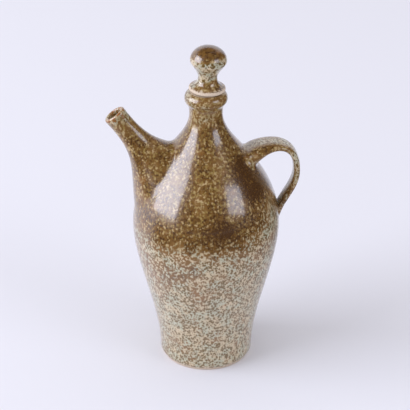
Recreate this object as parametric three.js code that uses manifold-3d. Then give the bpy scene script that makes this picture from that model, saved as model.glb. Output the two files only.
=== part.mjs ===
// Stoneware decanter: thrown body, trumpet spout, pulled strap handle and loose stopper.
// Millimetres, +Z up, origin at the centre of the flat base. The spout points along -X, the handle along +X.
import * as THREE from 'three';
import { mergeVertices } from 'three/addons/utils/BufferGeometryUtils.js';
import Module from 'manifold-3d';

// Body: outside radii, and heights stacked from the base up
const footRadius = 36.8;
const footBevel = 2.3;
const footBevelHeight = 4;
const bellyRadius = 57.2;
const bellyHeight = 117.5;
const shoulderRise = 93.5;
const neckRadius = 12.8;
const collarProud = 3.6;
const collarRise = 12.8;
const collarCrown = 5.4;
const seatRadius = 11.5;
const mouthRounding = 1.2;
const bodyWall = 4.6;
const floorThickness = 7;

// Fullness of upright curves: the handle at each end as a share of the curve's own rise
const footFullness = 0.33;
const bellyFullness = 0.28;
const shoulderFullness = 0.53;
const neckFullness = 0.27;
const neckCurlFullness = 0.82;
const collarFullness = 0.4;
const waistFullness = 0.45;
const knobFullness = 0.26;

// Spout: a trumpet whose axis meets the shoulder above the belly and whose flare dies into the belly
const spoutRootRise = 51.8;
const spoutLength = 53.6;
const spoutTilt = 53.75;
const spoutMouthRadius = 8.75;
const spoutWall = 3.4;
const spoutBarrel = 41.1;
const spoutBarrelTaper = 1.8;
const spoutFlareStart = 40.1;
const spoutFlareRadius = 16.8;
const spoutFootDrop = 49.3;
const spoutFootSink = 2.6;
const spoutSideRatio = 0.86;
const pourHoleRadius = 8;

// Handle: a strap along a curve that leaves the shoulder, turns over and comes down on the belly
const handleRootRise = 57.2;
const handleRootAngle = 37;
const handleRootPull = 22.8;
const handleReach = 12.8;
const handleReachDrop = 13.7;
const handleArchPull = 23.6;
const handleGripPull = 13.5;
const handleTailDrop = 47.1;
const handleTailAngle = 70;
const handleTailPull = 12.8;
const handleSink = 9;

// Handle section: swells from the grip to the root over the given reach along the strap
const handleGripWidth = 14.4;
const handleRootWidth = 28;
const handleWidthReach = 26;
const handleGripThickness = 5.4;
const handleRootThickness = 12.5;
const handleThicknessReach = 13;
const handleSquareness = 2.6;

// Stopper: heights above the underside of its flange
const flangeRadius = 13.9;
const flangeThickness = 3.3;
const shelfPull = 3.2;
const shelfSlope = 21;
const waistRadius = 7.3;
const waistHeight = 10.3;
const waistPull = 3.6;
const knobRadius = 13.9;
const knobHeight = 24.2;
const knobDome = 11;
const plugLength = 22;
const plugTaper = 1;
const plugRounding = 1.5;
const stopperLean = 2.5;
const stopperOffset = 0.8;

// Clearances
const lutingGap = 0.3;
const seatGap = 0.3;
const plugClearance = 0.6;

// Facets: segments round an axis, and steps along a curve
const bodySegments = 48;
const spoutSegments = 36;
const stopperSegments = 32;
const drillSegments = 24;
const strapSides = 20;
const strapRings = 34;
const longSteps = 13;
const flareSteps = 18;
const shortSteps = 7;
const roundSteps = 5;

// Heights, radii and angles that follow from the sizes above
const neckHeight = bellyHeight + shoulderRise;
const collarHeight = neckHeight + collarRise;
const rimHeight = collarHeight + collarCrown;
const collarRadius = neckRadius + collarProud;
const boreRadius = neckRadius - bodyWall;
const radians = THREE.MathUtils.degToRad;
const quarter = Math.PI / 2;

const wasm = await Module();
wasm.setup();

const point = (x, y) => new THREE.Vector2(x, y);

// Cubic curve in the profile plane, as points without the first one
function curve(start, startHandle, endHandle, end, steps) {
  return new THREE.CubicBezierCurve(start, startHandle, endHandle, end).getPoints(steps).slice(1);
}

// Upright S-curve: leaves and arrives along the axis
function riseCurve(start, end, startFullness, endFullness, steps) {
  const rise = end.y - start.y;
  const startHandle = point(start.x, start.y + startFullness * rise);
  const endHandle = point(end.x, end.y - endFullness * rise);
  return curve(start, startHandle, endHandle, end, steps);
}

// Part of an ellipse in the profile plane, as points from one angle up to a larger one
function arc(centre, radiusX, radiusY, from, to, steps) {
  return new THREE.EllipseCurve(centre.x, centre.y, radiusX, radiusY, from, to).getPoints(steps);
}

// Outside of the body from the base's edge up to the seat, as (radius, height)
function makeBodyOutline() {
  const foot = point(footRadius, footBevelHeight);
  const belly = point(bellyRadius, bellyHeight);
  const neck = point(neckRadius, neckHeight);
  const collar = point(collarRadius, collarHeight);
  const crownCentre = point(seatRadius, collarHeight);
  return [
    point(footRadius - footBevel, 0),
    foot,
    ...riseCurve(foot, belly, footFullness, bellyFullness, longSteps),
    ...riseCurve(belly, neck, shoulderFullness, neckFullness, longSteps),
    ...riseCurve(neck, collar, neckCurlFullness, collarFullness, shortSteps),
    ...arc(crownCentre, collarRadius - seatRadius, collarCrown, 0, quarter, roundSteps).slice(1),
  ];
}

const bodyOutline = makeBodyOutline();

// Outside radius of the body at a height
function outerRadius(height) {
  const above = bodyOutline.findIndex((place) => place.y >= height);
  const low = bodyOutline[above - 1];
  const high = bodyOutline[above];
  return THREE.MathUtils.lerp(low.x, high.x, (height - low.y) / (high.y - low.y));
}

// A profile moved square to itself, to the left of its way for a positive distance
function offsetProfile(profile, distance) {
  return profile.map((here, index) => {
    const before = profile[Math.max(index - 1, 0)];
    const after = profile[Math.min(index + 1, profile.length - 1)];
    const along = after.clone().sub(before).normalize();
    return point(here.x - along.y * distance, here.y + along.x * distance);
  });
}

// Solid of revolution about +Z from a profile of (radius, height)
function lathe(profile, segments) {
  return new THREE.LatheGeometry(profile, segments).rotateX(quarter);
}

// Closed geometry to a solid that can be cut
function toSolid(geometry) {
  const bare = geometry.clone();
  bare.deleteAttribute('normal');
  bare.deleteAttribute('uv');
  const merged = mergeVertices(bare);
  return new wasm.Manifold(new wasm.Mesh({
    numProp: 3,
    vertProperties: new Float32Array(merged.attributes.position.array),
    triVerts: new Uint32Array(merged.index.array),
  }));
}

// Cut solid back to a geometry
function toGeometry(solid) {
  const mesh = solid.getMesh();
  const geometry = new THREE.BufferGeometry();
  geometry.setAttribute('position', new THREE.BufferAttribute(mesh.vertProperties, 3));
  geometry.setIndex(new THREE.BufferAttribute(mesh.triVerts, 1));
  geometry.computeVertexNormals();
  return geometry;
}

// The body's outside as a filled solid, swollen by the luting gap, for trimming what is luted on to it
function makeBodyCutter() {
  const skin = offsetProfile(bodyOutline, -lutingGap);
  const bottom = point(0, skin[0].y);
  const top = point(0, skin[skin.length - 1].y);
  return toSolid(lathe([bottom, ...skin, top], bodySegments));
}

// Spout frame: the axis runs from the mouth into the body, and the up side is square to it
const spoutAxis = new THREE.Vector3(Math.cos(radians(spoutTilt)), 0, -Math.sin(radians(spoutTilt)));
const spoutUpSide = new THREE.Vector3(Math.sin(radians(spoutTilt)), 0, Math.cos(radians(spoutTilt)));
const spoutRootHeight = bellyHeight + spoutRootRise;
const spoutRoot = new THREE.Vector3(-outerRadius(spoutRootHeight), 0, spoutRootHeight);
const spoutMouth = spoutRoot.clone().addScaledVector(spoutAxis, -spoutLength);

// Places a shape made along +Z on the spout's axis, with zero at the mouth and +Z towards the body
function alongSpout(geometry) {
  const side = new THREE.Vector3().crossVectors(spoutAxis, spoutUpSide);
  const turn = new THREE.Matrix4().makeBasis(spoutUpSide, side, spoutAxis);
  return geometry.applyMatrix4(turn.setPosition(spoutMouth));
}

// Thrown body, hollowed to an even wall, with the pour hole through the shoulder
function makeBody() {
  const hollow = offsetProfile(bodyOutline, bodyWall)
    .filter((place) => place.y > floorThickness && place.y < neckHeight)
    .reverse();
  const mouthCentre = point(boreRadius + mouthRounding, rimHeight - mouthRounding);
  const profile = [
    point(0, 0),
    ...bodyOutline,
    ...arc(mouthCentre, mouthRounding, mouthRounding, quarter, Math.PI, roundSteps),
    point(boreRadius, neckHeight),
    ...hollow,
    point(hollow[hollow.length - 1].x, floorThickness),
    point(0, floorThickness),
  ];
  const drillReach = bodyWall + 2 * pourHoleRadius;
  const drill = new THREE.CylinderGeometry(pourHoleRadius, pourHoleRadius, 2 * drillReach, drillSegments);
  drill.rotateX(quarter).translate(0, 0, spoutLength);
  return toGeometry(toSolid(lathe(profile, bodySegments)).subtract(toSolid(alongSpout(drill))));
}

// Trumpet of even wall with a rounded lip, trimmed to the near side of the body
function makeSpout() {
  const footHeight = spoutRootHeight - spoutFootDrop;
  const foot = new THREE.Vector3(spoutFootSink - outerRadius(footHeight), 0, footHeight).sub(spoutMouth);
  const flareEnd = point(-foot.dot(spoutUpSide), foot.dot(spoutAxis));
  const lip = spoutWall / 2;
  const outerLip = point(spoutMouthRadius, lip);
  const barrelHandle = point(spoutMouthRadius - spoutBarrelTaper, spoutBarrel);
  const flareHandle = point(spoutFlareRadius, spoutFlareStart);
  const outside = [outerLip, ...curve(outerLip, barrelHandle, flareHandle, flareEnd, flareSteps)];
  const inside = offsetProfile(outside, spoutWall).reverse();
  const lipArc = arc(point(spoutMouthRadius - lip, lip), lip, lip, -Math.PI, 0, roundSteps).slice(1);
  const profile = [...outside, ...inside, ...lipArc];
  const trumpet = alongSpout(lathe(profile, spoutSegments).scale(1, spoutSideRatio, 1));
  const span = 2 * (bellyRadius + rimHeight);
  const farSide = new THREE.BoxGeometry(span, span, span).translate(span / 2, 0, rimHeight);
  return toGeometry(toSolid(trumpet).subtract(makeBodyCutter()).subtract(toSolid(farSide)));
}

// Centreline of the strap: out of the shoulder, over the arch, down the grip and on to the belly
function makeHandlePath() {
  const way = (angle) => new THREE.Vector3(Math.cos(radians(angle)), 0, Math.sin(radians(angle)));
  const beyond = (start, direction, distance) => start.clone().addScaledVector(direction, distance);
  const rootHeight = bellyHeight + handleRootRise;
  const tailHeight = rootHeight - handleTailDrop;
  const root = new THREE.Vector3(outerRadius(rootHeight), 0, rootHeight);
  const tail = new THREE.Vector3(outerRadius(tailHeight), 0, tailHeight);
  const reach = new THREE.Vector3(bellyRadius + handleReach, 0, rootHeight - handleReachDrop);
  const rootWay = way(handleRootAngle);
  const tailWay = way(handleTailAngle);
  const up = new THREE.Vector3(0, 0, 1);
  const path = new THREE.CurvePath();
  path.add(new THREE.LineCurve3(beyond(root, rootWay, -handleSink), root));
  path.add(new THREE.CubicBezierCurve3(
    root,
    beyond(root, rootWay, handleRootPull),
    beyond(reach, up, handleArchPull),
    reach,
  ));
  path.add(new THREE.CubicBezierCurve3(
    reach,
    beyond(reach, up, -handleGripPull),
    beyond(tail, tailWay, handleTailPull),
    tail,
  ));
  path.add(new THREE.LineCurve3(tail, beyond(tail, tailWay, -handleSink)));
  return path;
}

// Strap section at a distance from the root: a squared ellipse, as (thickness way, width way)
function strapSection(distance) {
  const swell = (grip, root, reach) => grip + (root - grip) * Math.exp(-((distance / reach) ** 2));
  const thickness = swell(handleGripThickness, handleRootThickness, handleThicknessReach);
  const width = swell(handleGripWidth, handleRootWidth, handleWidthReach);
  const squared = (value) => Math.sign(value) * Math.abs(value) ** (2 / handleSquareness);
  return Array.from({ length: strapSides }, (_, side) => {
    const angle = (2 * Math.PI * side) / strapSides;
    return point(squared(Math.cos(angle)) * thickness / 2, squared(Math.sin(angle)) * width / 2);
  });
}

// Closed loft through rings of points given one after another, with flat ends
function loft(positions, rings, sides) {
  const triangles = [];
  for (let ring = 0; ring < rings; ring += 1) {
    for (let side = 0; side < sides; side += 1) {
      const here = ring * sides + side;
      const next = ring * sides + (side + 1) % sides;
      triangles.push(here, here + sides, next);
      triangles.push(next, here + sides, next + sides);
    }
  }
  const last = rings * sides;
  for (let side = 1; side < sides - 1; side += 1) {
    triangles.push(0, side, side + 1);
    triangles.push(last, last + side + 1, last + side);
  }
  const geometry = new THREE.BufferGeometry();
  geometry.setAttribute('position', new THREE.Float32BufferAttribute(positions, 3));
  geometry.setIndex(triangles);
  return geometry;
}

// Pulled strap: sections carried along the centreline and trimmed to the body at both ends
function makeHandle() {
  const path = makeHandlePath();
  const length = path.getLength();
  const positions = [];
  for (let ring = 0; ring <= strapRings; ring += 1) {
    const share = ring / strapRings;
    const centre = path.getPointAt(share);
    const tangent = path.getTangentAt(share);
    const outward = new THREE.Vector3(-tangent.z, 0, tangent.x);
    const distance = Math.max(share * length - handleSink, 0);
    for (const corner of strapSection(distance)) {
      const place = centre.clone().addScaledVector(outward, corner.x);
      positions.push(place.x, corner.y, place.z);
    }
  }
  return toGeometry(toSolid(loft(positions, strapRings, strapSides)).subtract(makeBodyCutter()));
}

// Thrown stopper: tapered plug, flange with a rounded edge, waist and domed knob
function makeStopper() {
  const plugRadius = boreRadius - stopperOffset - plugClearance;
  const plugTipRadius = plugRadius - plugTaper;
  const edge = flangeThickness / 2;
  const edgeCentre = point(flangeRadius - edge, edge);
  const shelf = point(edgeCentre.x, flangeThickness);
  const waist = point(waistRadius, waistHeight);
  const knob = point(knobRadius, knobHeight);
  const slope = radians(shelfSlope);
  const shelfHandle = point(shelf.x - shelfPull * Math.cos(slope), shelf.y + shelfPull * Math.sin(slope));
  const waistHandle = point(waistRadius, waistHeight - waistPull);
  const profile = [
    point(0, -plugLength),
    point(plugTipRadius - plugRounding, -plugLength),
    point(plugTipRadius, plugRounding - plugLength),
    point(plugRadius, 0),
    ...arc(edgeCentre, edge, edge, -quarter, quarter, shortSteps),
    ...curve(shelf, shelfHandle, waistHandle, waist, shortSteps),
    ...riseCurve(waist, knob, waistFullness, knobFullness, shortSteps),
    ...arc(point(0, knobHeight), knobRadius, knobDome, 0, quarter, shortSteps).slice(1, -1),
    point(0, knobHeight + knobDome),
  ];
  return lathe(profile, stopperSegments);
}

// Adds one named piece with its own glaze
function addPiece(parent, name, geometry, color, roughness) {
  const piece = new THREE.Mesh(geometry, new THREE.MeshStandardMaterial({ color, roughness, metalness: 0 }));
  piece.name = name;
  parent.add(piece);
}

const decanter = new THREE.Group();
addPiece(decanter, 'body', makeBody(), 0x8f7a52, 0.3);
addPiece(decanter, 'spout', makeSpout(), 0x7c683f, 0.3);
addPiece(decanter, 'handle', makeHandle(), 0x8a7b55, 0.32);

// The stopper sits a little off centre and leans towards the handle, its low side just clear of the seat
const seatLift = seatGap + seatRadius * Math.sin(radians(stopperLean));
const stopperSeat = new THREE.Group();
stopperSeat.position.set(stopperOffset, 0, rimHeight + seatLift);
stopperSeat.rotation.y = radians(stopperLean);
addPiece(stopperSeat, 'stopper', makeStopper(), 0x8c7650, 0.3);
decanter.add(stopperSeat);

export default decanter;
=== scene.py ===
from math import cos, pi, radians, sin, tan

import bpy
import numpy as np
from mathutils import Matrix, Quaternion, Vector


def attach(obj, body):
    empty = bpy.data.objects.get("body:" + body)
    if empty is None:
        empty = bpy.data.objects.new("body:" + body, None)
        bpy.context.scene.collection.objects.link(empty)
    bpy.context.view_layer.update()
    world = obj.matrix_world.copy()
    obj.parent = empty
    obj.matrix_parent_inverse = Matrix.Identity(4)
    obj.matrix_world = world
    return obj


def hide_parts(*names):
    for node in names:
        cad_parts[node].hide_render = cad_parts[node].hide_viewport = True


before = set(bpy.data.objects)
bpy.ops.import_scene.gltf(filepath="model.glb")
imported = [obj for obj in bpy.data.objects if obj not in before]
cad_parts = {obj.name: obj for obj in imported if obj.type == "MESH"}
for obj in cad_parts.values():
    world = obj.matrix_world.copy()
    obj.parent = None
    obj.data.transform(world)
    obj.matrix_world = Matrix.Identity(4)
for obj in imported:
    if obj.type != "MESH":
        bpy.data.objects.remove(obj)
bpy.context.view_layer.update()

bl_info = {
    "name": "Stoneware decanter",
    "version": (1, 0, 0),
    "blender": (4, 5, 0),
    "location": "View3D > Sidebar > Decanter",
    "description": "Thrown decanter with a luted spout and handle, a loose stopper and a speckled glaze",
    "category": "Object",
}

MM = 0.001
PHOTO_SIDE = 410


# Properties: sizes in metres and colours, as a user would change them


def length(name, description, millimetres):
    """A length property whose default is given in millimetres."""
    return bpy.props.FloatProperty(
        name=name, description=description, default=millimetres * MM, unit="LENGTH", precision=5
    )


def share(name, description, default):
    """A plain number between 0 and 1."""
    return bpy.props.FloatProperty(name=name, description=description, default=default, min=0, max=1)


def fullness(name, where, default):
    """The share of a curve's rise that runs upright at one of its ends."""
    return share(name, "Share of the rise that runs upright " + where, default)


def number(name, description, default, low=0):
    """A plain number with a lower limit."""
    return bpy.props.FloatProperty(name=name, description=description, default=default, min=low)


def degrees(name, description, default):
    """An angle property whose default is given in degrees."""
    return bpy.props.FloatProperty(
        name=name, description=description, default=radians(default), subtype="ANGLE", unit="ROTATION"
    )


def glaze_colour(name, description, red, green, blue):
    """A colour property whose default is given as display values from 0 to 255."""
    return bpy.props.FloatVectorProperty(
        name=name, description=description, default=[to_linear(value) for value in (red, green, blue)],
        subtype="COLOR", size=3, min=0, max=1,
    )


def to_linear(value):
    """A display value from 0 to 255 as linear light."""
    value = value / 255
    return value / 12.92 if value <= 0.04045 else ((value + 0.055) / 1.055) ** 2.4


class BodySizes(bpy.types.PropertyGroup):
    """Sizes of the thrown body."""

    foot_radius: length("Foot radius", "Outside radius above the foot's bevel", 36.8)
    foot_bevel: length("Foot bevel", "How far the bevel goes in at the base", 2.3)
    foot_bevel_height: length("Bevel height", "Height of the foot's bevel", 4)
    belly_radius: length("Belly radius", "Largest outside radius", 57.2)
    belly_height: length("Belly height", "Height of the largest radius", 117.5)
    shoulder_rise: length("Shoulder rise", "From the belly up to the neck", 93.5)
    neck_radius: length("Neck radius", "Smallest outside radius", 12.8)
    collar_proud: length("Collar proud", "How far the collar stands out from the neck", 3.6)
    collar_rise: length("Collar rise", "From the neck up to the collar's widest ring", 12.8)
    collar_crown: length("Collar crown", "From the collar's widest ring up to the rim", 5.4)
    seat_radius: length("Seat radius", "Outer radius of the flat that the stopper sits on", 11.5)
    mouth_rounding: length("Mouth rounding", "Rounding of the mouth's inner edge", 1.2)
    wall: length("Wall", "Thickness of the wall", 4.6)
    floor: length("Floor", "Thickness of the floor", 7)
    foot_fullness: fullness("Foot fullness", "above the foot", 0.33)
    belly_fullness: fullness("Belly fullness", "below the belly", 0.28)
    shoulder_fullness: fullness("Shoulder fullness", "above the belly", 0.53)
    neck_fullness: fullness("Neck fullness", "below the neck", 0.27)
    neck_curl_fullness: fullness("Neck curl", "above the neck", 0.82)
    collar_fullness: fullness("Collar fullness", "below the collar", 0.4)


class SpoutSizes(bpy.types.PropertyGroup):
    """Sizes of the trumpet spout."""

    root_rise: length("Root rise", "Height above the belly at which the axis meets the shoulder", 51.8)
    length: length("Length", "Along the axis from the mouth to the shoulder", 53.6)
    tilt: degrees("Tilt", "Slope of the axis", 53.75)
    mouth_radius: length("Mouth radius", "Outside radius at the mouth", 8.75)
    wall: length("Wall", "Thickness of the wall", 3.4)
    barrel: length("Barrel", "Reach of the straight part", 41.1)
    barrel_taper: length("Barrel taper", "How far the barrel draws in", 1.8)
    flare_start: length("Flare start", "Where the flare is pulled from", 40.1)
    flare_radius: length("Flare radius", "Radius that the flare is pulled to", 16.8)
    foot_drop: length("Foot drop", "From the root down to the flare's foot", 49.3)
    foot_sink: length("Foot sink", "How far the flare's foot ends inside the body", 2.6)
    side_ratio: share("Side ratio", "Width of the section over its depth", 0.86)
    pour_hole_radius: length("Pour hole radius", "Hole through the shoulder", 8)
    fillet_top: length("Top fillet", "Slip drawn out along the joint above the spout", 4.5)
    fillet_side: length("Side fillet", "Slip drawn out along the joint beside and below the spout", 3.5)


class HandleSizes(bpy.types.PropertyGroup):
    """Sizes of the pulled strap handle."""

    root_rise: length("Root rise", "Height above the belly at which the strap leaves the shoulder", 57.2)
    root_angle: degrees("Root angle", "Slope of the strap as it leaves", 37)
    root_pull: length("Root pull", "How long the strap keeps that slope", 22.8)
    reach: length("Reach", "How far the strap stands out from the belly", 12.8)
    reach_drop: length("Reach drop", "From the root down to the furthest point", 13.7)
    arch_pull: length("Arch pull", "How high the arch is pulled", 23.6)
    grip_pull: length("Grip pull", "How long the strap hangs straight", 13.5)
    tail_drop: length("Tail drop", "From the root down to the tail", 47.1)
    tail_angle: degrees("Tail angle", "Slope of the strap as it meets the belly", 70)
    tail_pull: length("Tail pull", "How long the tail keeps that slope", 12.8)
    sink: length("Sink", "How far both ends go into the body", 9)
    grip_width: length("Grip width", "Width of the strap in the hand", 14.4)
    root_width: length("Root width", "Width at the root", 28)
    width_reach: length("Width reach", "How far along the strap the root's width dies out", 26)
    grip_thickness: length("Grip thickness", "Thickness of the strap in the hand", 5.4)
    root_thickness: length("Root thickness", "Thickness at the root", 12.5)
    thickness_reach: length("Thickness reach", "How far along the root's thickness dies out", 13)
    squareness: number("Squareness", "Power of the strap's squared ellipse", 2.6, low=2)
    root_fillet: length("Root fillet", "Slip drawn out under and beside the root", 5)
    top_fillet: length("Top fillet", "Slip drawn out above the root", 2)
    tail_fillet: length("Tail fillet", "Slip drawn out round the tail", 1.6)


class StopperSizes(bpy.types.PropertyGroup):
    """Sizes of the loose stopper, with heights above the underside of its flange."""

    flange_radius: length("Flange radius", "Outside radius of the flange", 13.9)
    flange_thickness: length("Flange thickness", "Thickness of the flange's edge", 3.3)
    shelf_pull: length("Shelf pull", "How far the flange's top runs in before it rises", 3.2)
    shelf_slope: degrees("Shelf slope", "Slope of the flange's top", 21)
    waist_radius: length("Waist radius", "Smallest radius between flange and knob", 7.3)
    waist_height: length("Waist height", "Height of the waist", 10.3)
    waist_pull: length("Waist pull", "How long the waist runs upright below", 3.6)
    waist_fullness: fullness("Waist fullness", "above the waist", 0.45)
    knob_radius: length("Knob radius", "Largest radius of the knob", 13.9)
    knob_height: length("Knob height", "Height of the knob's largest radius", 24.2)
    knob_dome: length("Knob dome", "From there up to the top", 11)
    knob_fullness: fullness("Knob fullness", "below the knob", 0.26)
    plug_length: length("Plug length", "How far the plug goes into the neck", 22)
    plug_taper: length("Plug taper", "How much slimmer the plug's tip is", 1)
    plug_rounding: length("Plug rounding", "Bevel round the plug's tip", 1.5)
    plug_clearance: length("Plug clearance", "Gap between the plug and the neck", 0.6)
    seat_gap: length("Seat gap", "Gap between the flange and its seat", 0.3)
    lean: degrees("Lean", "How far the stopper leans towards the handle", 2.5)
    offset: length("Offset", "How far the stopper sits off the neck's axis", 0.8)


class GlazeColours(bpy.types.PropertyGroup):
    """Colours of the glaze and the clay."""

    olive: glaze_colour("Olive brown", "Thick glaze of the dipped upper part", 115, 81, 33)
    umber: glaze_colour("Umber", "Darkest patches of the upper part", 78, 49, 18)
    honey: glaze_colour("Honey", "Thin brown patches of the upper part", 138, 96, 44)
    fleck: glaze_colour("Fleck", "Pale flecks in the brown glaze", 186, 160, 114)
    moss: glaze_colour("Moss", "Greenish flecks in the brown glaze", 146, 120, 62)
    oatmeal: glaze_colour("Oatmeal", "Warm ground of the lower part", 197, 178, 144)
    celadon: glaze_colour("Celadon", "Cool grey green ground of the lower part", 181, 178, 152)
    speck: glaze_colour("Speck", "Brown specks in the pale glaze", 107, 80, 24)
    rust: glaze_colour("Rust", "Iron specks and the burnt lip", 150, 95, 38)
    clay: glaze_colour("Clay", "Bare fired clay", 214, 195, 172)


class StudioSettings(bpy.types.PropertyGroup):
    """Camera, floor and light."""

    eye: bpy.props.FloatVectorProperty(
        name="Eye", description="Place of the camera", default=(-0.07777, -1.11212, 0.74457), subtype="XYZ"
    )
    azimuth: degrees("Azimuth", "Direction of the camera round the object", -4)
    pitch: degrees("Pitch", "How far the camera looks down", 28.818)
    focal_pixels: number("Focal length", "Focal length in pixels of the photograph", 1632.49)
    shift_pixels: number("Shift", "How far the picture is moved to the right, in pixels", 1)
    floor_colour: glaze_colour("Floor", "Colour of the floor", 231, 230, 233)
    backdrop_colour: glaze_colour("Backdrop", "What the camera sees beyond the floor", 239, 239, 248)
    fill: number("Fill", "Strength of the light from all round", 0.72)
    window_radiance: number("Window", "Brightness of the tall window on the left", 4.3)
    card_radiance: number("Card", "Brightness of the card on the right", 3)


GROUPS = {
    "decanter_body": BodySizes,
    "decanter_spout": SpoutSizes,
    "decanter_handle": HandleSizes,
    "decanter_stopper": StopperSizes,
    "decanter_glaze": GlazeColours,
    "decanter_studio": StudioSettings,
}


# Curves and surfaces as arrays


SAME_POINT = 1e-9
SLOPE_STEP = 0.2 * MM
HALVINGS = 48
FILLET_SINK = 0.12 * MM


def bezier(start, start_handle, end_handle, end, count):
    """Cubic curve: the four points weighted by (1-t)^3, 3t(1-t)^2, 3t^2(1-t) and t^3 for t from 0 to 1."""
    t = np.linspace(0, 1, count)[:, None]
    points = [np.asarray(point, float) for point in (start, start_handle, end_handle, end)]
    weights = ((1 - t) ** 3, 3 * t * (1 - t) ** 2, 3 * t**2 * (1 - t), t**3)
    return sum(weight * point for weight, point in zip(weights, points))


def rise_curve(start, end, start_fullness, end_fullness, count):
    """Upright S-curve in (radius, height): a cubic that leaves and arrives along the axis."""
    rise = end[1] - start[1]
    start_handle = (start[0], start[1] + start_fullness * rise)
    end_handle = (end[0], end[1] - end_fullness * rise)
    return bezier(start, start_handle, end_handle, end, count)


def arc(centre, radius_x, radius_y, start, end, count):
    """Part of an ellipse: centre plus (radius_x cos a, radius_y sin a) for a from start to end."""
    a = np.linspace(start, end, count)
    return np.stack([centre[0] + radius_x * np.cos(a), centre[1] + radius_y * np.sin(a)], 1)


def joined(*curves):
    """Curves one after another, without the repeated point where two of them meet."""
    points = np.vstack(curves)
    step = np.linalg.norm(np.diff(points, axis=0), axis=1)
    return points[np.r_[True, step > SAME_POINT]]


def tangents(curve):
    """Directions along a curve of points, one long."""
    tangent = np.gradient(curve, axis=0)
    return tangent / np.linalg.norm(tangent, axis=1)[:, None]


def turns(count):
    """Even angles round a full turn."""
    return np.linspace(0, 2 * pi, count, endpoint=False)


def offset_profile(profile, distance):
    """A profile moved square to itself: each point plus distance times its tangent's left normal."""
    tangent = tangents(profile)
    return profile + distance * np.stack([-tangent[:, 1], tangent[:, 0]], 1)


def revolved(profile, columns):
    """Surface of revolution: (r cos a, r sin a, z) for each (r, z) of the profile and a round the axis."""
    a = turns(columns)
    r, z = profile[:, :1], profile[:, 1:]
    return np.stack([r * np.cos(a), r * np.sin(a), z + 0 * a], -1)


def smooth_step(value):
    """Eases 0 to 1 with level ends: 3x^2 - 2x^3."""
    value = np.clip(value, 0, 1)
    return value * value * (3 - 2 * value)


class BodyShape:
    """Outside of the body as a table of (radius, height), read at any height."""

    def __init__(self, sizes):
        neck_height = sizes.belly_height + sizes.shoulder_rise
        collar_height = neck_height + sizes.collar_rise
        collar_radius = sizes.neck_radius + sizes.collar_proud
        self.sizes = sizes
        self.neck_height = neck_height
        self.rim_height = collar_height + sizes.collar_crown
        self.bore_radius = sizes.neck_radius - sizes.wall
        foot = (sizes.foot_radius, sizes.foot_bevel_height)
        belly = (sizes.belly_radius, sizes.belly_height)
        neck = (sizes.neck_radius, neck_height)
        collar = (collar_radius, collar_height)
        base = (sizes.foot_radius - sizes.foot_bevel, 0)
        bevel = np.linspace(base, foot, 5)
        lower = rise_curve(foot, belly, sizes.foot_fullness, sizes.belly_fullness, 60)
        shoulder = rise_curve(belly, neck, sizes.shoulder_fullness, sizes.neck_fullness, 60)
        curl = rise_curve(neck, collar, sizes.neck_curl_fullness, sizes.collar_fullness, 22)
        crown_centre = (sizes.seat_radius, collar_height)
        crown = arc(crown_centre, collar_radius - sizes.seat_radius, sizes.collar_crown, 0, pi / 2, 16)
        self.outline = joined(bevel, lower, shoulder, curl, crown)

    def radius(self, height):
        """Outside radius at a height, by straight lines between the table's points."""
        return np.interp(height, self.outline[:, 1], self.outline[:, 0])

    def outside(self, points):
        """How far points lie outside the body, measured level: their distance from the axis less its
        radius."""
        return np.hypot(points[..., 0], points[..., 1]) - self.radius(points[..., 2])

    def on_surface(self, points, sink):
        """Points moved level, to or from the axis, until they lie a sink below the surface."""
        scale = (self.radius(points[..., 2]) - sink) / np.hypot(points[..., 0], points[..., 1])
        return points * np.stack([scale, scale, np.ones_like(scale)], -1)

    def normal(self, points):
        """Outward normals: (x/r, y/r, -dr/dz), made one long."""
        height = points[..., 2]
        rise = self.radius(height + SLOPE_STEP) - self.radius(height - SLOPE_STEP)
        slope = rise / (2 * SLOPE_STEP)
        r = np.hypot(points[..., 0], points[..., 1])
        normal = np.stack([points[..., 0] / r, points[..., 1] / r, -slope], -1)
        return normal / np.linalg.norm(normal, axis=-1, keepdims=True)


def crossing(surface, shape, low, high):
    """For each column of a surface, the parameter between low (outside) and high (inside) at which it meets
    the body, found by halving."""
    for _ in range(HALVINGS):
        middle = (low + high) / 2
        out = shape.outside(surface(middle)) > 0
        low, high = np.where(out, middle, low), np.where(out, high, middle)
    return (low + high) / 2


def slip_fillet(before, joint, shape, reach, count):
    """Slip drawn out along a joint: for each column a parabola from a point on the piece, pulled to the
    joint's own point, to a point on the body one reach away from the joint and just below the surface."""
    along = np.roll(joint, -1, axis=0) - np.roll(joint, 1, axis=0)
    away = np.cross(along, shape.normal(joint))
    away /= np.linalg.norm(away, axis=1)[:, None]
    outward = np.sum(away * (joint - joint.mean(axis=0)), axis=1)
    away *= np.sign(outward.mean())
    after = shape.on_surface(joint + reach[:, None] * away, FILLET_SINK)
    t = np.linspace(0, 1, count)[:, None, None]
    return (1 - t) ** 2 * before + 2 * t * (1 - t) * joint + t**2 * after


# Meshes from arrays


def quads_of(rows, columns, closed):
    """Corner numbers of a grid's quads; columns close on themselves, and rows too where closed is true."""
    row = np.arange(rows if closed else rows - 1)[:, None]
    column = np.arange(columns)[None, :]
    next_row, next_column = (row + 1) % rows, (column + 1) % columns
    corners = (
        row * columns + column,
        row * columns + next_column,
        next_row * columns + next_column,
        next_row * columns + column,
    )
    return np.stack(np.broadcast_arrays(*corners), -1).reshape(-1, 4)


def fan_of(row_start, columns, pole, turned):
    """Corner numbers of the triangles between a ring of the grid and a pole."""
    here = row_start + np.arange(columns)
    after = row_start + (np.arange(columns) + 1) % columns
    ring = (after, here) if turned else (here, after)
    return np.stack([*ring, np.full(columns, pole)], -1)


def add_object(name, vertices, faces, material):
    """Makes a mesh object from points and corner numbers."""
    mesh = bpy.data.meshes.new(name)
    mesh.from_pydata(vertices, [], faces)
    mesh.materials.append(material)
    made = bpy.data.objects.new(name, mesh)
    bpy.context.scene.collection.objects.link(made)
    return made


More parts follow.
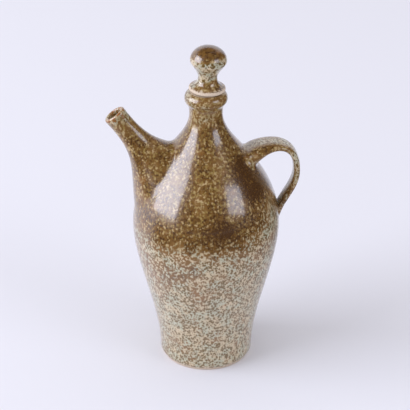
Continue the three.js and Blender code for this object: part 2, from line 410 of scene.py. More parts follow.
def add_piece(name, grid, material, ends=None):
    """Makes a smooth mesh object from a grid of points: a closed tube, or one closed at two end points."""
    rows, columns = grid.shape[:2]
    vertices = grid.reshape(-1, 3)
    faces = quads_of(rows, columns, ends is None).tolist()
    if ends is not None:
        first, last = len(vertices), len(vertices) + 1
        vertices = np.vstack([vertices, ends])
        faces += fan_of(0, columns, first, True).tolist()
        faces += fan_of((rows - 1) * columns, columns, last, False).tolist()
    piece = add_object(name, vertices, faces, material)
    piece.data.shade_smooth()
    piece.data.validate()
    return piece


def add_attribute(piece, name, values):
    """Stores one number per vertex for a material to read; the end points take the mean."""
    numbers = np.asarray(values, float).ravel()
    spare = len(piece.data.vertices) - len(numbers)
    numbers = np.concatenate([numbers, np.full(spare, numbers.mean())])
    piece.data.attributes.new(name, "FLOAT", "POINT").data.foreach_set("value", numbers)


# Shader nodes


class Value:
    """A node's output socket whose arithmetic adds Math nodes."""

    def __init__(self, shade, socket):
        self.shade = shade
        self.socket = socket

    def math(self, operation, *others):
        """Adds one Math node."""
        inputs = dict(enumerate((self, *others)))
        return self.shade.node("ShaderNodeMath", {"operation": operation}, inputs)

    def __add__(self, other):
        return self.math("ADD", other)

    def __sub__(self, other):
        return self.math("SUBTRACT", other)

    def __mul__(self, other):
        return self.math("MULTIPLY", other)

    def __rsub__(self, other):
        return (self * -1).math("ADD", other)

    __radd__ = __add__
    __rmul__ = __mul__

    def clamped(self):
        """Kept between 0 and 1."""
        return self.math("MAXIMUM", 0).math("MINIMUM", 1)

    def above(self, low, high):
        """Smooth step from 0 at low to 1 at high."""
        inputs = {"Value": self, "From Min": low, "From Max": high}
        return self.shade.node("ShaderNodeMapRange", {"interpolation_type": "SMOOTHSTEP"}, inputs)


class Shade:
    """A node tree being built, with one method that adds any node."""

    def __init__(self, tree):
        tree.nodes.clear()
        self.tree = tree

    def node(self, kind, settings=None, inputs=None, output=0):
        """Adds a node, sets its settings first and then its sockets, and returns one of its outputs."""
        node = self.tree.nodes.new(kind)
        for name, setting in (settings or {}).items():
            if name == "stops":
                set_stops(node.color_ramp, setting)
            else:
                setattr(node, name, setting)
        for name, value in (inputs or {}).items():
            if isinstance(value, Value):
                self.tree.links.new(value.socket, node.inputs[name])
            else:
                node.inputs[name].default_value = value
        return Value(self, node.outputs[output]) if len(node.outputs) else None

    def mix(self, factor, first, second):
        """Blends two colours."""
        inputs = {0: factor, 6: first, 7: second}
        return self.node("ShaderNodeMix", {"data_type": "RGBA"}, inputs, 2)

    def noise(self, place, scale, detail, roughness):
        """Noise of about one blob for each 1/scale metres."""
        inputs = {"Vector": place, "Scale": scale, "Detail": detail, "Roughness": roughness}
        return self.node("ShaderNodeTexNoise", {"noise_dimensions": "3D"}, inputs)

    def dots(self, place, scale):
        """Distance to the nearest of points strewn about 1/scale metres apart, over that spacing."""
        settings = {"voronoi_dimensions": "3D", "feature": "F1", "distance": "EUCLIDEAN"}
        inputs = {"Vector": place, "Scale": scale, "Randomness": 1.0}
        return self.node("ShaderNodeTexVoronoi", settings, inputs)

    def attribute(self, name):
        """A number stored on the piece's own vertices."""
        return self.node("ShaderNodeAttribute", {"attribute_name": name}, output=2)

    def moved(self, place, location=(0, 0, 0), scale=(1, 1, 1)):
        """Coordinates shifted and stretched."""
        return self.node("ShaderNodeMapping", None, {"Vector": place, "Location": location, "Scale": scale})

    def ramp(self, factor, stops):
        """A grey level read off straight lines between (place, level) stops."""
        stops = [(place, (level, level, level, 1)) for place, level in stops]
        colour = self.node("ShaderNodeValToRGB", {"stops": stops}, {"Fac": factor})
        return self.node("ShaderNodeSeparateColor", None, {"Color": colour})

    def surface(self, shader):
        """Ends a material's tree in its output."""
        self.node("ShaderNodeOutputMaterial", None, {"Surface": shader})


def new_material(name):
    """A material and its node tree, still empty."""
    material = bpy.data.materials.new(name)
    material.use_nodes = True
    return material, Shade(material.node_tree)


def set_stops(color_ramp, stops):
    """Replaces a new ramp's two stops by the given ones."""
    while len(color_ramp.elements) < len(stops):
        color_ramp.elements.new(1)
    for element, (place, colour) in zip(color_ramp.elements, stops):
        element.position = place
        element.color = colour


def rgba(colour):
    """A colour property with full alpha."""
    return (*colour, 1)


# Glaze


# How much brown covers the ground, as (height in millimetres, cover) on each piece
BODY_COVER = [
    (0, 0.52), (50, 0.51), (84, 0.56), (100, 0.585), (112, 0.59), (121, 0.61), (129, 0.66),
    (137, 0.73), (143, 0.72), (158, 0.66), (190, 0.67), (203, 0.65), (216, 0.59), (229, 0.58),
]
SPOUT_COVER = [
    (0, 0.44), (113, 0.57), (124, 0.64), (142, 0.66), (160, 0.69), (186, 0.66), (208, 0.62), (220, 0.55),
    (231, 0.42),
]
HANDLE_COVER = [(0, 0.44), (122, 0.66), (132, 0.53), (147, 0.48), (164, 0.53), (180, 0.64)]
STOPPER_COVER = [
    (229, 0.66), (235, 0.64), (238, 0.45), (243, 0.46), (248, 0.46), (253, 0.42), (258, 0.66), (262, 0.90),
]
RAMP_TOP = 0.27

# Patches of more brown, the first where the brown ran thick in the front of the band, the second on the
# right of the shoulder beside the handle's root: centre, reach and amount of more cover
BODY_PATCHES = [((0.007, -0.055, 0.135), 0.020, 0.16), ((0.031, -0.025, 0.169), 0.026, 0.28)]
HANDLE_RUNS = [((0.036, -0.008, 0.156), 0.018, 0.4)]

# Clouds in the glaze: how many to the metre, a shift that keeps them apart, their detail and its roughness
CLOUDS = {
    "drift": (26, (0.31, 0.12, 0.05), 2, 0.5),
    "patches": (58, (0.13, 0.42, 0.07), 3, 0.55),
    "warm": (75, (0.7, 0.1, 0.3), 2, 0.5),
    "tone": (120, (0.2, 0.6, 0.4), 3, 0.6),
    "peel": (300, (0.5, 0.2, 0.9), 2, 0.5),
    "spark": (330, (0.3, 0.9, 0.6), 2, 0.6),
    "blobs": (470, (0, 0, 0), 3, 0.66),
    "melt": (520, (0.9, 0.5, 0.1), 2, 0.6),
    "fine": (1500, (0, 0, 0), 1, 0.5),
}

# Points strewn in the glaze: how many to the metre, and their shift
POINTS = {
    "flecks": (490, (0.4, 0.3, 0.2)),
    "specks": (500, (0, 0, 0)),
    "small_specks": (860, (0.6, 0.8, 0.7)),
}
SPECK_REACH, SMALLER_BY, FLECK_REACH = 0.43, 0.08, 0.5
GRAIN_STRETCH = (1, 1, 0.85)
GRAIN_EDGE = (-0.12, 0.12)
STOPPER_MOTTLE = 1.35

# The line that the pot was dipped to: its bow and slant, and how far it drifts up and down
DIP_BOW, DIP_SLANT, DIP_DRIFT = 1.6, 0.18, 0.03

# Covers over which the brown glaze takes over, its flecks come in and they drown, and from which it is thick
UPPER_COVER, FLECK_COVER, FULL_COVER, THICK_COVER = (0.54, 0.68), (0.50, 0.62), (0.70, 0.92), 0.72

# Heights over which flecks take the place of the pale ground, and over which thick brown ends
FLECK_HEIGHTS, THIN_HEIGHTS = (0.114, 0.136), (0.19, 0.21)
RING_PITCH = 0.0052
BUMP_DEPTH = 0.05 * MM
DARK_CLAY = 0.86

# Where glaze meets bare or burnt clay: heights, and the distance from the spout's lip
FOOT_LINE = (0.0022, 0.0032)
SEAT_LINE = (0.22910, 0.22914)
FLANGE_LINE = (0.0026, 0.0034)
LIP_LINE = (0.0004, 0.0036)

# How far the grain makes those lines ragged, and how much brown the handle's edges add
FOOT_RAG, FLANGE_RAG, LIP_RAG = 0.003, 0.002, 0.016
EDGE_COVER, OUTER_EDGE = 0.12, 0.4


def clouds(shade, name, place, mottle=1.0):
    """Noise of one of the glaze's clouds, coarser where mottle is above 1."""
    per_metre, shift, detail, roughness = CLOUDS[name]
    return shade.noise(shade.moved(place, shift), per_metre / mottle, detail, roughness)


def strewn(shade, name, place, mottle):
    """Distance to the nearest of one of the glaze's strewn points."""
    per_metre, shift = POINTS[name]
    return shade.dots(shade.moved(place, shift), per_metre / mottle)


def brown_runs(shade, place, runs):
    """Extra brown round some centres, each fading out over its reach."""
    cover = 0
    for centre, reach, amount in runs:
        away = shade.node("ShaderNodeVectorMath", {"operation": "DISTANCE"}, {0: place, 1: centre}, "Value")
        cover = (1 - away.above(0.2 * reach, reach)) * amount + cover
    return cover


def glaze_material(name, colours, cover_stops, mottle=1.0, add_cover=None, burnt=None, bare=None):
    """Speckled glaze: one fine grain is cut at a level that follows how much brown covers the ground there,
    so pale flecks in brown turn into brown specks in pale without a seam. Mottle sets the grain's size,
    add_cover adds brown, burnt marks rust and bare marks where clay shows."""
    material, shade = new_material(name)
    place = shade.node("ShaderNodeTexCoord", output=3)
    height = shade.node("ShaderNodeSeparateXYZ", None, {0: place}, 2)
    sideways = shade.node("ShaderNodeSeparateXYZ", None, {0: place}, 0)
    fine = clouds(shade, "fine", place)
    tone = clouds(shade, "tone", place)
    warm = clouds(shade, "warm", place)
    drift = clouds(shade, "drift", place)

    # Cover: the dip line runs up towards the handle and down towards the spout
    level = height - sideways * (sideways * DIP_BOW + DIP_SLANT) + (drift - 0.5) * DIP_DRIFT
    stops = [(z * MM / RAMP_TOP, amount) for z, amount in cover_stops]
    cover = shade.ramp(level * (1 / RAMP_TOP), stops) + (clouds(shade, "patches", place) - 0.5) * 0.42
    if add_cover is not None:
        cover = cover + add_cover(shade, place)
    upper = cover.above(*UPPER_COVER)
    between = upper * (1 - upper)

    # Grain: specks in the pale glaze, flecks in the brown one, and blobs that join them up
    stretched = shade.moved(place, scale=GRAIN_STRETCH)
    specks = strewn(shade, "specks", stretched, mottle)
    small_specks = strewn(shade, "small_specks", stretched, mottle) + SMALLER_BY
    specks = specks.math("MINIMUM", small_specks)
    flecks = strewn(shade, "flecks", stretched, mottle)
    blobs = clouds(shade, "blobs", stretched, mottle)
    grain = (SPECK_REACH - specks) * (1 - upper) + (flecks - FLECK_REACH) * upper * 0.45
    grain = grain + (blobs - 0.5) * (upper * 0.65 + between * 1.6 + 0.8)
    brown = (grain + (cover - 0.5) * 0.55).above(*GRAIN_EDGE)

    # Colours of the brown, which is darker where it lies thick below the neck
    olive, honey = rgba(colours.olive), rgba(colours.honey)
    thick = (cover - THICK_COVER).math("MAXIMUM", 0) * (1 - level.above(*THIN_HEIGHTS)) * 0.9
    melt = clouds(shade, "melt", stretched, mottle) * 0.8 + tone * 0.2
    deep = shade.mix((melt - thick).above(0.36, 0.58), rgba(colours.umber), olive)
    deep = shade.mix((warm - thick).above(0.54, 0.78), deep, honey)
    iron = shade.mix(warm.above(0.58, 0.76) * 0.7, rgba(colours.speck), rgba(colours.rust))
    dark = shade.mix(between * 2, shade.mix(upper, iron, deep), honey)

    # Colours of the pale: ground below the dip line, flecks above it, drowned where the cover is full
    ground = shade.mix(tone.above(0.4, 0.6), rgba(colours.celadon), rgba(colours.oatmeal))
    spark = clouds(shade, "spark", place, mottle) * 0.7 + warm * 0.3
    fleck = shade.mix(spark.above(0.43, 0.62), rgba(colours.moss), rgba(colours.fleck))
    pale = shade.mix(cover.above(*FLECK_COVER) * level.above(*FLECK_HEIGHTS), ground, fleck)
    pale = shade.mix(cover.above(*FULL_COVER), pale, olive)
    colour = shade.mix(brown, pale, dark)

    # Surface: grain and orange peel in the glaze, throwing rings in the clay under it
    rings = (height * (2 * pi / RING_PITCH) + drift * 14).math("SINE")
    relief = grain * 2.4 + clouds(shade, "peel", place) * 3 + fine * 0.15 + rings * 0.2
    roughness = 0.32 - upper * 0.08 + fine * 0.06
    coat = 1.0
    if burnt is not None:
        colour = shade.mix(burnt(shade, grain), colour, rgba(colours.rust))
    if bare is not None:
        clay_mask = bare(shade, height, grain)
        dark_clay = [DARK_CLAY * value for value in colours.clay] + [1]
        clay = shade.mix(fine.above(0.35, 0.7), rgba(colours.clay), dark_clay)
        colour = shade.mix(clay_mask, colour, clay)
        roughness = roughness + clay_mask * 0.4
        coat = 1 - clay_mask
    bump = shade.node("ShaderNodeBump", None, {"Strength": 1.0, "Distance": BUMP_DEPTH, "Height": relief})
    finish = {
        "Base Color": colour,
        "Roughness": roughness,
        "IOR": 1.5,
        "Coat Weight": coat,
        "Coat Roughness": 0.13,
        "Coat IOR": 1.66,
        "Normal": bump,
    }
    shade.surface(shade.node("ShaderNodeBsdfPrincipled", None, finish))
    return material


# Pieces


BODY_COLUMNS, SPOUT_COLUMNS, HANDLE_COLUMNS, STOPPER_COLUMNS, DRILL_COLUMNS = 240, 160, 96, 128, 48
BORE_OVERRUN = 0.3 * MM


class DECANTER_OT_body(bpy.types.Operator):
    """Make the thrown body: its outline revolved, hollowed to an even wall and drilled for the spout"""

    bl_idname = "decanter.body"
    bl_label = "Body"

    def execute(self, context):
        sizes = context.scene.decanter_body
        shape = BodyShape(sizes)
        colours = context.scene.decanter_glaze
        material = glaze_material(
            "body_glaze", colours, BODY_COVER, add_cover=brown_patches, bare=bare_foot_and_seat
        )
        grid = revolved(body_profile(shape), BODY_COLUMNS)
        piece = add_piece("bottle", grid, material, [(0, 0, 0), (0, 0, sizes.floor)])
        drill_pour_hole(piece, context.scene.decanter_spout, shape)
        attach(piece, "vessel")
        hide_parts("body")
        return {"FINISHED"}


def body_profile(shape):
    """Outside from the base's centre up to the rim, over the mouth and down the inside to the floor."""
    sizes = shape.sizes
    inside = offset_profile(shape.outline, sizes.wall)[::-3]
    inside = inside[(inside[:, 1] > sizes.floor) & (inside[:, 1] < shape.neck_height)]
    rounding = sizes.mouth_rounding
    centre = (shape.bore_radius + rounding, shape.rim_height - rounding)
    mouth = arc(centre, rounding, rounding, pi / 2, pi, 8)
    base = np.linspace((shape.outline[0, 0] / 8, 0), shape.outline[0], 8)
    floor_edge = (inside[-1, 0], sizes.floor)
    floor = np.linspace(floor_edge, (floor_edge[0] / 6, sizes.floor), 6)
    return joined(base, shape.outline, mouth, inside, floor)


def brown_patches(shade, place):
    """More brown on a patch of the belly where the dipped glaze ran thick, and on a patch of the shoulder
    beside the handle's root.
    """
    return brown_runs(shade, place, BODY_PATCHES)


def bare_foot_and_seat(shade, height, grain):
    """Clay shows on the base, on a thin line above it and on the wiped seat at the rim."""
    foot = 1 - (height + grain * FOOT_RAG).above(*FOOT_LINE)
    return (foot + height.above(*SEAT_LINE)).clamped()


def drill_pour_hole(piece, sizes, shape):
    """Cuts the pour hole: a round drill along the spout's axis, taken out of the body's mesh. It is turned
    half a step, so that none of its corners meets one of the body's."""
    spout = SpoutShape(sizes, shape)
    reach = shape.sizes.wall + 2 * sizes.pour_hole_radius
    angle = (np.arange(DRILL_COLUMNS) + 0.5) * 2 * pi / DRILL_COLUMNS
    depth = sizes.length + np.array([[-reach], [reach]]) + 0 * angle
    grid = spout.places(depth, sizes.pour_hole_radius + 0 * depth, angle, 1.0)
    drill = add_piece("pour_hole_drill", grid, piece.data.materials[0], grid.mean(axis=1))
    cut = piece.modifiers.new("pour hole", "BOOLEAN")
    cut.object = drill
    cut.operation = "DIFFERENCE"
    ready = piece.evaluated_get(bpy.context.evaluated_depsgraph_get())
    mesh = bpy.data.meshes.new_from_object(ready)
    piece.modifiers.clear()
    piece.data = mesh
    bpy.data.objects.remove(drill)


class SpoutShape:
    """The trumpet: a profile of radius over distance along a tilted axis from the mouth."""

    def __init__(self, sizes, shape):
        root_height = shape.sizes.belly_height + sizes.root_rise
        self.axis = np.array([cos(sizes.tilt), 0, -sin(sizes.tilt)])
        self.up = np.array([sin(sizes.tilt), 0, cos(sizes.tilt)])
        self.side = np.cross(self.axis, self.up)
        root = np.array([-shape.radius(root_height), 0, root_height])
        self.mouth = root - sizes.length * self.axis
        foot_height = root_height - sizes.foot_drop
        foot = np.array([sizes.foot_sink - shape.radius(foot_height), 0, foot_height]) - self.mouth
        self.lip = sizes.wall / 2
        self.side_ratio = sizes.side_ratio
        self.profile = bezier(
            (sizes.mouth_radius, self.lip),
            (sizes.mouth_radius - sizes.barrel_taper, sizes.barrel),
            (sizes.flare_radius, sizes.flare_start),
            (-foot @ self.up, foot @ self.axis),
            200,
        )
        self.bore = offset_profile(self.profile, sizes.wall)

    def places(self, along, radius, angle, side_ratio):
        """Points at a distance along the axis and a radius round it, the section narrowed sideways."""
        across = (radius * np.cos(angle))[..., None] * self.up
        beside = (side_ratio * radius * np.sin(angle))[..., None] * self.side
        return self.mouth + along[..., None] * self.axis + across + beside

    def surface(self, profile, angle):
        """The trumpet as a function of the distance along the axis, for one column per angle."""
        return lambda along: self.places(
            along, np.interp(along, profile[:, 1], profile[:, 0]), angle, self.side_ratio
        )


class DECANTER_OT_spout(bpy.types.Operator):
    """Make the spout: a hollow trumpet that meets the body in a fillet of slip"""

    bl_idname = "decanter.spout"
    bl_label = "Spout"

    def execute(self, context):
        sizes = context.scene.decanter_spout
        shape = BodyShape(context.scene.decanter_body)
        grid, from_lip = spout_grid(sizes, shape)
        colours = context.scene.decanter_glaze
        material = glaze_material("spout_glaze", colours, SPOUT_COVER, burnt=burnt_lip)
        piece = add_piece("trumpet_spout", grid, material)
        add_attribute(piece, "from_lip", from_lip)
        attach(piece, "vessel")
        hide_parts("spout")
        return {"FINISHED"}


def burnt_lip(shade, grain):
    """The glaze thins over the lip and burns to rust there, in patches."""
    return 1 - (shade.attribute("from_lip") - (grain - 0.08) * LIP_RAG).above(*LIP_LINE)


def spout_grid(sizes, shape):
    """Rows down the outside to the fillet, along the fillet, back up the bore and over the rounded lip, and
    one column per angle; with the distance of each point from the lip along the axis."""
    spout = SpoutShape(sizes, shape)
    angle = turns(SPOUT_COLUMNS)
    outer, bore = spout.surface(spout.profile, angle), spout.surface(spout.bore, angle)
    start = np.full_like(angle, spout.lip)
    far = np.full_like(angle, spout.profile[-1, 1])
    bore_start = np.full_like(angle, spout.bore[0, 1])
    bore_far = np.full_like(angle, spout.bore[-1, 1])
    meet = crossing(outer, shape, start, far)
    bore_meet = crossing(bore, shape, bore_start, bore_far) + BORE_OVERRUN
    top = smooth_step(np.cos(angle))
    reach = sizes.fillet_side + (sizes.fillet_top - sizes.fillet_side) * top
    down = np.linspace(0, 1, 64)[:, None]
    outside = outer(start + down * (meet - reach - start))
    fillet = slip_fillet(outside[-1], outer(meet), shape, reach, 16)
    inside = bore(bore_start + down[::-2] * (bore_meet - bore_start))
    turn = np.linspace(-pi, 0, 10)[1:-1, None] + 0 * angle
    lip_radius = sizes.mouth_radius - spout.lip + spout.lip * np.cos(turn)
    lip_along = spout.lip + spout.lip * np.sin(turn)
    lip = spout.places(lip_along, lip_radius, angle, spout.side_ratio)
    grid = np.concatenate([outside, fillet[1:], inside, lip])
    return grid, (grid - spout.mouth) @ spout.axis


class DECANTER_OT_handle(bpy.types.Operator):
    """Make the handle: a pulled strap pressed on to the shoulder and the belly"""

    bl_idname = "decanter.handle"
    bl_label = "Handle"

    def execute(self, context):
        sizes = context.scene.decanter_handle
        shape = BodyShape(context.scene.decanter_body)
        grid, edge = handle_grid(sizes, shape)
        colours = context.scene.decanter_glaze
        material = glaze_material("handle_glaze", colours, HANDLE_COVER, add_cover=broken_edge)
        ends = [grid[0].mean(axis=0), grid[-1].mean(axis=0)]
        piece = add_piece("strap_handle", grid, material, ends)
        add_attribute(piece, "edge", edge)
        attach(piece, "vessel")
        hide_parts("handle")
        return {"FINISHED"}


def broken_edge(shade, place):
    """The glaze breaks to brown along the strap's edges, and the shoulder's brown runs on to the root."""
    return shade.attribute("edge") * EDGE_COVER + brown_runs(shade, place, HANDLE_RUNS)


def handle_path(sizes, shape):
    """Centreline in (x, z): a straight run out of the shoulder, two cubics over the arch and down the grip,
    and a straight run into the belly, as points with their distance along the line."""
    root_height = shape.sizes.belly_height + sizes.root_rise
    tail_height = root_height - sizes.tail_drop
    root = np.array([shape.radius(root_height), root_height])
    tail = np.array([shape.radius(tail_height), tail_height])
    reach = np.array([shape.sizes.belly_radius + sizes.reach, root_height - sizes.reach_drop])
    root_way = np.array([cos(sizes.root_angle), sin(sizes.root_angle)])
    tail_way = np.array([cos(sizes.tail_angle), sin(sizes.tail_angle)])
    up = np.array([0, 1])
    arch = bezier(root, root + sizes.root_pull * root_way, reach + sizes.arch_pull * up, reach, 120)
    grip = bezier(reach, reach - sizes.grip_pull * up, tail + sizes.tail_pull * tail_way, tail, 120)
    run_in = np.linspace(root - sizes.sink * root_way, root, 30)
    run_out = np.linspace(tail, tail - sizes.sink * tail_way, 30)
    path = joined(run_in, arch, grip, run_out)
    return path, np.r_[0, np.cumsum(np.linalg.norm(np.diff(path, axis=0), axis=1))]


def handle_grid(sizes, shape):
    """Strap sections, squared ellipses that swell to the root, carried along the centreline, with a fillet
    of slip at both ends; and a mark that is 0 on the strap's faces, 1 on its inner edges and less on its
    outer ones."""
    path, along = handle_path(sizes, shape)
    tangent = tangents(path)
    angle = turns(HANDLE_COLUMNS)
    power = 2 / sizes.squareness
    across = np.sign(np.cos(angle)) * np.abs(np.cos(angle)) ** power
    beside = np.sign(np.sin(angle)) * np.abs(np.sin(angle)) ** power

    def swell(distance, grip, root, reach):
        """The grip's size plus what the root has more, which dies out as a bell curve from the surface."""
        return grip + (root - grip) * np.exp(-((np.maximum(distance - sizes.sink, 0) / reach) ** 2))

    def strap(distance):
        """Points round the centreline at a distance along it, for one column per angle."""
        x, z = (np.interp(distance, along, path[:, axis]) for axis in (0, 1))
        tx, tz = (np.interp(distance, along, tangent[:, axis]) for axis in (0, 1))
        half = swell(distance, sizes.grip_thickness, sizes.root_thickness, sizes.thickness_reach) / 2
        half_width = swell(distance, sizes.grip_width, sizes.root_width, sizes.width_reach) / 2
        return np.stack([x - tz * half * across, half_width * beside, z + tx * half * across], -1)

    middle = np.full_like(angle, along[-1] / 2)
    root_meet = crossing(strap, shape, middle, np.zeros_like(angle))
    tail_meet = crossing(strap, shape, middle, np.full_like(angle, along[-1]))
    root_reach = sizes.root_fillet + (sizes.top_fillet - sizes.root_fillet) * smooth_step(np.cos(angle))
    tail_reach = np.full_like(angle, sizes.tail_fillet)
    share_along = np.linspace(0, 1, 150)[:, None]
    start, end = root_meet + root_reach, tail_meet - tail_reach
    free = strap(start + share_along * (end - start))
    root = slip_fillet(free[0], strap(root_meet), shape, root_reach, 14)[::-1]
    tail = slip_fillet(free[-1], strap(tail_meet), shape, tail_reach, 8)
    grid = np.concatenate([root[:-1], free, tail[1:]])
    edge = np.abs(np.sin(2 * angle)) ** 3 * np.where(np.cos(angle) < 0, 1, OUTER_EDGE)
    edge = edge + np.zeros(len(grid))[:, None]
    return grid[::-1], edge[::-1]


class DECANTER_OT_stopper(bpy.types.Operator):
    """Make the loose stopper: its outline revolved, then leaned and moved a little off the neck's axis"""

    bl_idname = "decanter.stopper"
    bl_label = "Stopper"

    def execute(self, context):
        sizes = context.scene.decanter_stopper
        shape = BodyShape(context.scene.decanter_body)
        profile = stopper_profile(sizes, shape)
        grid = revolved(profile[1:-1], STOPPER_COLUMNS)
        ends = np.array([(0, 0, profile[0, 1]), (0, 0, profile[-1, 1])])
        lift = shape.rim_height + sizes.seat_gap + shape.sizes.seat_radius * sin(sizes.lean)
        turn = np.array(Matrix.Rotation(sizes.lean, 3, "Y"))
        place = np.array([sizes.offset, 0, lift])
        colours = context.scene.decanter_glaze
        material = glaze_material("stopper_glaze", colours, STOPPER_COVER, STOPPER_MOTTLE, bare=bare_flange)
        piece = add_piece("stopper_knob", grid @ turn.T + place, material, ends @ turn.T + place)
        add_attribute(piece, "rise", grid[..., 2])
        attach(piece, "stopper")
        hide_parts("stopper")
        return {"FINISHED"}


def bare_flange(shade, height, grain):
    """Clay shows on the plug and on the flange up to its upper edge."""
    return 1 - (shade.attribute("rise") + grain * FLANGE_RAG).above(*FLANGE_LINE)


def stopper_profile(sizes, shape):
    """Plug, rounded flange edge, shelf, waist, knob and dome as (radius, height), from tip to top."""
    plug_radius = shape.bore_radius - sizes.offset - sizes.plug_clearance
    tip_radius = plug_radius - sizes.plug_taper
    edge = sizes.flange_thickness / 2
    edge_centre = (sizes.flange_radius - edge, edge)
    shelf = (edge_centre[0], sizes.flange_thickness)
    waist = (sizes.waist_radius, sizes.waist_height)
    knob = (sizes.knob_radius, sizes.knob_height)
    slope = sizes.shelf_slope
    shelf_handle = (shelf[0] - sizes.shelf_pull * cos(slope), shelf[1] + sizes.shelf_pull * sin(slope))
    waist_handle = (sizes.waist_radius, sizes.waist_height - sizes.waist_pull)
    tip_edge = (tip_radius - sizes.plug_rounding, -sizes.plug_length)
    return joined(
        np.linspace((0, -sizes.plug_length), tip_edge, 5),
        np.linspace(tip_edge, (tip_radius, sizes.plug_rounding - sizes.plug_length), 4),
        np.linspace((tip_radius, sizes.plug_rounding - sizes.plug_length), (plug_radius, 0), 16),
        np.linspace((plug_radius, 0), (edge_centre[0], 0), 6),
        arc(edge_centre, edge, edge, -pi / 2, pi / 2, 16),
        bezier(shelf, shelf_handle, waist_handle, waist, 20),
        rise_curve(waist, knob, sizes.waist_fullness, sizes.knob_fullness, 28),
        arc((0, sizes.knob_height), sizes.knob_radius, sizes.knob_dome, 0, pi / 2, 30),
    )


# Stage


# Azimuths and elevations are in degrees as seen from the object, and distances in metres
FLAG = {"azimuths": (-56, 142), "elevations": (1, 145), "distance": 4.4}
APRON = {"azimuths": (-93, 142), "distances": (0.09, 4.4), "fade": 0.22}
WINDOW = {"azimuths": (-103, -56), "elevations": (4.5, 45.5), "roll": 8}
CARD = {"azimuths": (38, 66), "elevations": (12, 36), "roll": -20}
SIDE_FADE = 12
LIGHT_DISTANCE = 3.6
LIGHT_AIM = Vector((0, 0, 0.16))
LIGHT_TINT = (0.90, 0.94, 1.09)
FILL_TINT = (0.99, 0.98, 1.05)
CLOTH_BLACK = (0.02, 0.02, 0.02, 1)
MATT = {"Roughness": 0.9, "Specular IOR Level": 0.0}
FLOOR_HALF = 8
CLOTH_ROWS = 40
CLIP = (0.05, 50)
PAPER_RUNS_OUT = (0.7, 1.8)
RAYS_THAT_SEE = ("Is Camera Ray", "Is Glossy Ray", "Is Transmission Ray")


class DECANTER_OT_stage(bpy.types.Operator):
    """Lay the pale floor and set the light and the camera"""

    bl_idname = "decanter.stage"
    bl_label = "Stage"

    def execute(self, context):
        studio = context.scene.decanter_studio
        add_floor(studio)
        cloth = cloth_material(studio.floor_colour)
        add_flag(cloth, **FLAG)
        add_apron(cloth, **APRON)
        add_softbox("window", studio.window_radiance, **WINDOW)
        add_softbox("card", studio.card_radiance, **CARD)
        set_world(context.scene, studio)
        add_camera(context.scene, studio)
        context.scene.view_settings.view_transform = "Standard"
        return {"FINISHED"}


def add_stage_sheet(name, grid, material):
    """Makes an open sheet of the stage from a grid of points."""
    rows, columns = grid.shape[:2]
    corner = np.arange(rows * columns).reshape(rows, columns)
    faces = np.stack([corner[:-1, :-1], corner[:-1, 1:], corner[1:, 1:], corner[1:, :-1]], -1)
    sheet = add_object(name, grid.reshape(-1, 3), faces.reshape(-1, 4).tolist(), material)
    return sheet


def add_floor(studio):
    """A flat square sheet of paper at height 0."""
    side = np.linspace(-FLOOR_HALF, FLOOR_HALF, 3)
    x, y = np.meshgrid(side, side)
    add_stage_sheet("floor", np.stack([x, y, 0 * x], -1), paper_material(studio))


def paper_material(studio):
    """Matt paper, which the camera sees run out into the colour of the backdrop."""
    material, shade = new_material("paper")
    inputs = {"Base Color": rgba(studio.floor_colour), **MATT}
    paper = shade.node("ShaderNodeBsdfPrincipled", None, inputs)
    inputs = {"Color": rgba(studio.backdrop_colour), "Strength": 1.0}
    backdrop = shade.node("ShaderNodeEmission", None, inputs)
    place = shade.node("ShaderNodeTexCoord", output=3)
    away = shade.node("ShaderNodeVectorMath", {"operation": "LENGTH"}, {0: place}, "Value")
    far = away.above(*PAPER_RUNS_OUT) * shade.node("ShaderNodeLightPath", output="Is Camera Ray")
    shade.surface(shade.node("ShaderNodeMixShader", None, {0: far, 1: paper, 2: backdrop}))
    return material


def direction(azimuth, elevation):
    """Unit vector from the object towards an azimuth, 0 being the camera's side, and an elevation."""
    azimuth, elevation = np.radians(azimuth), np.radians(elevation)
    level = np.cos(elevation)
    return np.stack([np.sin(azimuth) * level, -np.cos(azimuth) * level, np.sin(elevation)], -1)


def add_flag(material, azimuths, elevations, distance):
    """Dark cloth on the camera's side, to the right and over the top, which keeps the glaze's reflections
    deep: part of a sphere, fading out at its sides and its far edge."""
    spans = (np.linspace(*span, CLOTH_ROWS) for span in (azimuths, elevations))
    azimuth, elevation = np.meshgrid(*spans)
    dark = side_fade(azimuth, azimuths) * smooth_step((elevations[1] - elevation) / SIDE_FADE)
    add_cloth("flag", distance * direction(azimuth, elevation), dark, material)


def add_apron(material, azimuths, distances, fade):
    """Dark cloth on the floor in front of the object and to its right: part of a flat ring 1 mm up, fading
    out at its sides and towards the object."""
    spans = (np.linspace(*span, CLOTH_ROWS) for span in (azimuths, distances))
    azimuth, distance = np.meshgrid(*spans)
    dark = side_fade(azimuth, azimuths) * smooth_step((distance - distances[0]) / fade)
    ring = distance[..., None] * direction(azimuth, 0 * azimuth) + np.array([0, 0, MM])
    add_cloth("apron", ring, dark, material)


def side_fade(azimuth, azimuths):
    """1 within the span of azimuths, easing to 0 at its two ends."""
    return smooth_step(np.minimum(azimuth - azimuths[0], azimuths[1] - azimuth) / SIDE_FADE)


def add_cloth(name, grid, dark, material):
    """Adds a stage sheet that only reflections see, with its darkness on its vertices."""
    sheet = add_stage_sheet(name, grid, material)
    add_attribute(sheet, "dark", dark)
    sheet.visible_camera = sheet.visible_diffuse = sheet.visible_shadow = False


def cloth_material(paper):
    """Black cloth that fades to the colour of the paper."""
    material, shade = new_material("flag_cloth")
    colour = shade.mix(shade.attribute("dark"), rgba(paper), CLOTH_BLACK)
    shade.surface(shade.node("ShaderNodeBsdfPrincipled", None, {"Base Color": colour, **MATT}))
    return material


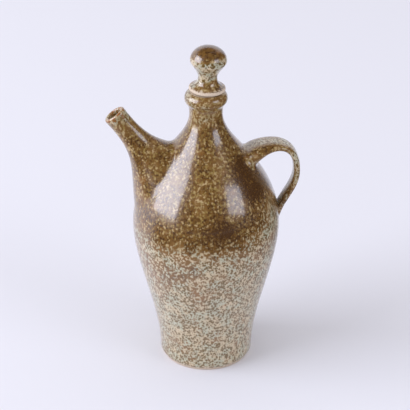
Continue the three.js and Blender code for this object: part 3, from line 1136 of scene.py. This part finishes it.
def add_softbox(name, radiance, azimuths, elevations, roll):
    """A rectangle of even light that spans the given directions as seen from the shoulder's height, rolled
    about its own axis."""
    middle = Vector(direction(sum(azimuths) / 2, sum(elevations) / 2))
    light = bpy.data.lights.new(name, "AREA")
    light.shape = "RECTANGLE"
    light.size = 2 * LIGHT_DISTANCE * tan(radians(azimuths[1] - azimuths[0]) / 2)
    light.size_y = 2 * LIGHT_DISTANCE * tan(radians(elevations[1] - elevations[0]) / 2)
    light.color = LIGHT_TINT
    light.energy = radiance * pi * light.size * light.size_y
    lamp = bpy.data.objects.new(name, light)
    lamp.location = LIGHT_AIM + LIGHT_DISTANCE * middle
    turn = middle.to_track_quat("Z", "Y") @ Quaternion((0, 0, 1), radians(roll))
    lamp.rotation_euler = turn.to_euler()
    lamp.visible_camera = False
    bpy.context.scene.collection.objects.link(lamp)


def set_world(scene, studio):
    """Even fill light; what the camera and clear reflections see beyond the floor is the pale backdrop."""
    scene.world = bpy.data.worlds.new("studio")
    scene.world.use_nodes = True
    shade = Shade(scene.world.node_tree)
    rays = [shade.node("ShaderNodeLightPath", output=name) for name in RAYS_THAT_SEE]
    seen = (rays[0] + rays[1] + rays[2]).clamped()
    fill = [studio.fill * value for value in FILL_TINT] + [1]
    colour = shade.mix(seen, fill, rgba(studio.backdrop_colour))
    background = shade.node("ShaderNodeBackground", None, {"Color": colour, "Strength": 1.0})
    shade.node("ShaderNodeOutputWorld", None, {"Surface": background})


def add_camera(scene, studio):
    """Camera at the photograph's place: level, pitched down, with the photograph's focal length."""
    camera = bpy.data.cameras.new("camera")
    camera.lens = studio.focal_pixels * camera.sensor_width / PHOTO_SIDE
    camera.shift_x = -studio.shift_pixels / PHOTO_SIDE
    camera.clip_start, camera.clip_end = CLIP
    azimuth, pitch = studio.azimuth, studio.pitch
    right = Vector((cos(azimuth), sin(azimuth), 0))
    ahead = Vector((-sin(azimuth) * cos(pitch), cos(azimuth) * cos(pitch), -sin(pitch)))
    turn = Matrix((right, right.cross(ahead), -ahead)).transposed()
    holder = bpy.data.objects.new("camera", camera)
    holder.matrix_world = Matrix.Translation(studio.eye) @ turn.to_4x4()
    scene.collection.objects.link(holder)
    scene.camera = holder


class DECANTER_PT_sidebar(bpy.types.Panel):
    """Lists the steps that make the decanter"""

    bl_label = "Decanter"
    bl_space_type = "VIEW_3D"
    bl_region_type = "UI"
    bl_category = "Decanter"

    def draw(self, context):
        for operator in OPERATORS:
            self.layout.operator(operator.bl_idname)


OPERATORS = (
    DECANTER_OT_stage,
    DECANTER_OT_body,
    DECANTER_OT_spout,
    DECANTER_OT_handle,
    DECANTER_OT_stopper,
)
CLASSES = (*GROUPS.values(), *OPERATORS, DECANTER_PT_sidebar)


def register():
    for item in CLASSES:
        bpy.utils.register_class(item)
    for name, group in GROUPS.items():
        setattr(bpy.types.Scene, name, bpy.props.PointerProperty(type=group))


def unregister():
    for name in GROUPS:
        delattr(bpy.types.Scene, name)
    for item in reversed(CLASSES):
        bpy.utils.unregister_class(item)


def main():
    """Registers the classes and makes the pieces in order."""
    register()
    bpy.ops.decanter.stage()
    bpy.ops.decanter.body()
    bpy.ops.decanter.spout()
    bpy.ops.decanter.handle()
    bpy.ops.decanter.stopper()


if __name__ == "__main__":
    main()
